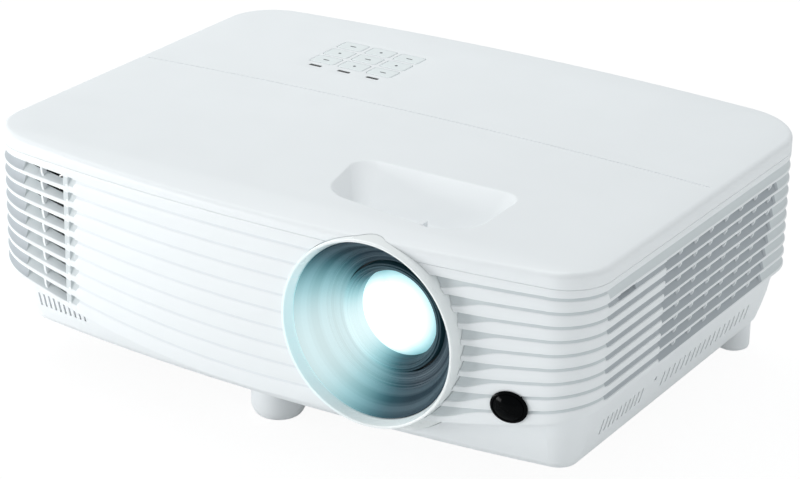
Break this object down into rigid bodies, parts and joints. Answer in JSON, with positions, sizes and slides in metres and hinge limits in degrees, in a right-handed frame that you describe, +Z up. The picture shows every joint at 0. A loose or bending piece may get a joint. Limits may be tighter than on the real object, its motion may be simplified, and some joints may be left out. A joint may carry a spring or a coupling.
{
  "type": "desktop video projector",
  "caption": "White desktop projector with a louvred waist, a large lens at the front right, a focus and zoom bowl in the lid, nine flush keys and an adjustable front foot.",
  "frame": {"origin": "on the table, under the middle of the case", "axes": "+X to the viewer's right when facing the lens, -Y is the front with the lens, +Z up"},
  "size_m": [0.313, 0.2425, 0.1143],
  "materials": {
    "case_white": "satin",
    "lens_ring_white": "gloss",
    "key_white": "satin",
    "panel_grey": "matte",
    "hood_dark": "satin",
    "barrel_black": "satin",
    "cell_black": "satin",
    "lens_glass": "polished",
    "window_black": "gloss",
    "board_green": "satin",
    "board_tan": "matte",
    "port_metal": "brushed",
    "engine_metal": "cast",
    "heat_sink_metal": "satin",
    "motor_metal": "satin",
    "wheel_glass": "polished",
    "lamp_plastic": "matte",
    "reflector_glass": "polished",
    "inlet_black": "satin",
    "fan_black": "matte",
    "filter_grey": "woven",
    "stem_metal": "threaded",
    "foot_white": "satin",
    "insert_brass": "machined",
    "screw_steel": "plated"
  },
  "bodies": {
    "case": {"top_cover": "case_white", "louvre_shell": "case_white", "bottom_tray": "case_white", "rear_panel": "panel_grey", "lens_bezel": "lens_ring_white", "lens_hood": "hood_dark", "barrel_body": "barrel_black", "rear_glass": "lens_glass", "ir_window": "window_black", "ir_board": "board_green", "key_board": "board_green", "status_lights": "window_black", "engine_box": "engine_metal", "mirror_chip_board": "board_green", "heat_sink": "heat_sink_metal", "wheel_motor": "motor_metal", "lamp_housing": "lamp_plastic", "lamp_reflector": "reflector_glass", "main_board": "board_green", "io_ports": "port_metal", "power_board": "board_tan", "power_inlet": "inlet_black", "ballast_board": "board_tan", "fan_frame": "fan_black", "blower_case": "fan_black", "speaker": "fan_black", "dust_filter": "filter_grey", "rear_feet": "foot_white", "mount_inserts": "insert_brass", "case_screws": "screw_steel"},
    "key_1_body": {"key_1": "key_white"},
    "key_2_body": {"key_2": "key_white"},
    "key_3_body": {"key_3": "key_white"},
    "key_4_body": {"key_4": "key_white"},
    "key_5_body": {"key_5": "key_white"},
    "key_6_body": {"key_6": "key_white"},
    "key_7_body": {"key_7": "key_white"},
    "key_8_body": {"key_8": "key_white"},
    "key_9_body": {"key_9": "key_white"},
    "focus_collar": {"focus_ring": "barrel_black"},
    "zoom_collar": {"zoom_ring": "barrel_black"},
    "front_group": {"focus_cell": "cell_black", "front_glass": "lens_glass"},
    "zoom_group": {"zoom_cell": "cell_black", "zoom_glass": "lens_glass"},
    "wheel": {"colour_wheel": "wheel_glass"},
    "door": {"lamp_door": "case_white"},
    "fan": {"fan_rotor": "fan_black"},
    "blower": {"blower_rotor": "fan_black"},
    "foot_screw": {"foot_stem": "stem_metal"},
    "foot_pad": {"foot_knob": "foot_white"}
  },
  "joints": [
    {"name": "press_1", "type": "slide", "parent": "case", "child": "key_1_body", "axis": [0, 0, -1], "range_m": [0, 0.0008], "stiffness_N_per_m": 400, "springref_m": -0.0005},
    {"name": "press_2", "type": "slide", "parent": "case", "child": "key_2_body", "axis": [0, 0, -1], "range_m": [0, 0.0008], "stiffness_N_per_m": 400, "springref_m": -0.0005},
    {"name": "press_3", "type": "slide", "parent": "case", "child": "key_3_body", "axis": [0, 0, -1], "range_m": [0, 0.0008], "stiffness_N_per_m": 400, "springref_m": -0.0005},
    {"name": "press_4", "type": "slide", "parent": "case", "child": "key_4_body", "axis": [0, 0, -1], "range_m": [0, 0.0008], "stiffness_N_per_m": 400, "springref_m": -0.0005},
    {"name": "press_5", "type": "slide", "parent": "case", "child": "key_5_body", "axis": [0, 0, -1], "range_m": [0, 0.0008], "stiffness_N_per_m": 400, "springref_m": -0.0005},
    {"name": "press_6", "type": "slide", "parent": "case", "child": "key_6_body", "axis": [0, 0, -1], "range_m": [0, 0.0008], "stiffness_N_per_m": 400, "springref_m": -0.0005},
    {"name": "press_7", "type": "slide", "parent": "case", "child": "key_7_body", "axis": [0, 0, -1], "range_m": [0, 0.0008], "stiffness_N_per_m": 400, "springref_m": -0.0005},
    {"name": "press_8", "type": "slide", "parent": "case", "child": "key_8_body", "axis": [0, 0, -1], "range_m": [0, 0.0008], "stiffness_N_per_m": 400, "springref_m": -0.0005},
    {"name": "press_9", "type": "slide", "parent": "case", "child": "key_9_body", "axis": [0, 0, -1], "range_m": [0, 0.0008], "stiffness_N_per_m": 400, "springref_m": -0.0005},
    {"name": "focus_turn", "type": "hinge", "parent": "case", "child": "focus_collar", "pos_m": [0.059, -0.087, 0.0695], "axis": [0, -1, 0], "range_deg": [-40, 40]},
    {"name": "focus_slide", "type": "slide", "parent": "case", "child": "front_group", "axis": [0, -1, 0], "range_m": [-0.0025, 0.0025]},
    {"name": "zoom_turn", "type": "hinge", "parent": "case", "child": "zoom_collar", "pos_m": [0.059, -0.078, 0.0695], "axis": [0, -1, 0], "range_deg": [-20, 20]},
    {"name": "zoom_slide", "type": "slide", "parent": "case", "child": "zoom_group", "axis": [0, -1, 0], "range_m": [-0.003, 0.003]},
    {"name": "wheel_spin", "type": "hinge", "parent": "case", "child": "wheel", "pos_m": [0.094, 0.0315, 0.046], "axis": [0, 1, 0], "continuous": true},
    {"name": "fan_spin", "type": "hinge", "parent": "case", "child": "fan", "pos_m": [0.136, 0.001, 0.0645], "axis": [1, 0, 0], "continuous": true},
    {"name": "blower_spin", "type": "hinge", "parent": "case", "child": "blower", "pos_m": [-0.091, -0.066, 0.04], "axis": [0, 0, 1], "continuous": true},
    {"name": "door_off", "type": "slide", "parent": "case", "child": "door", "axis": [0, 0, -1], "range_m": [0, 0.018]},
    {"name": "foot_height", "type": "slide", "parent": "case", "child": "foot_screw", "axis": [0, 0, -1], "range_m": [0, 0.012]},
    {"name": "foot_turn", "type": "hinge", "parent": "foot_screw", "child": "foot_pad", "pos_m": [-0.009, -0.086, 0.01], "axis": [0, 0, -1], "range_deg": [0, 1440]}
  ],
  "couplings": [
    {"joint": "focus_turn", "follows": "focus_slide", "rad_per_m": 279.2},
    {"joint": "zoom_turn", "follows": "zoom_slide", "rad_per_m": 116.3},
    {"joint": "foot_turn", "follows": "foot_height", "rad_per_m": 2094.4}
  ]
}
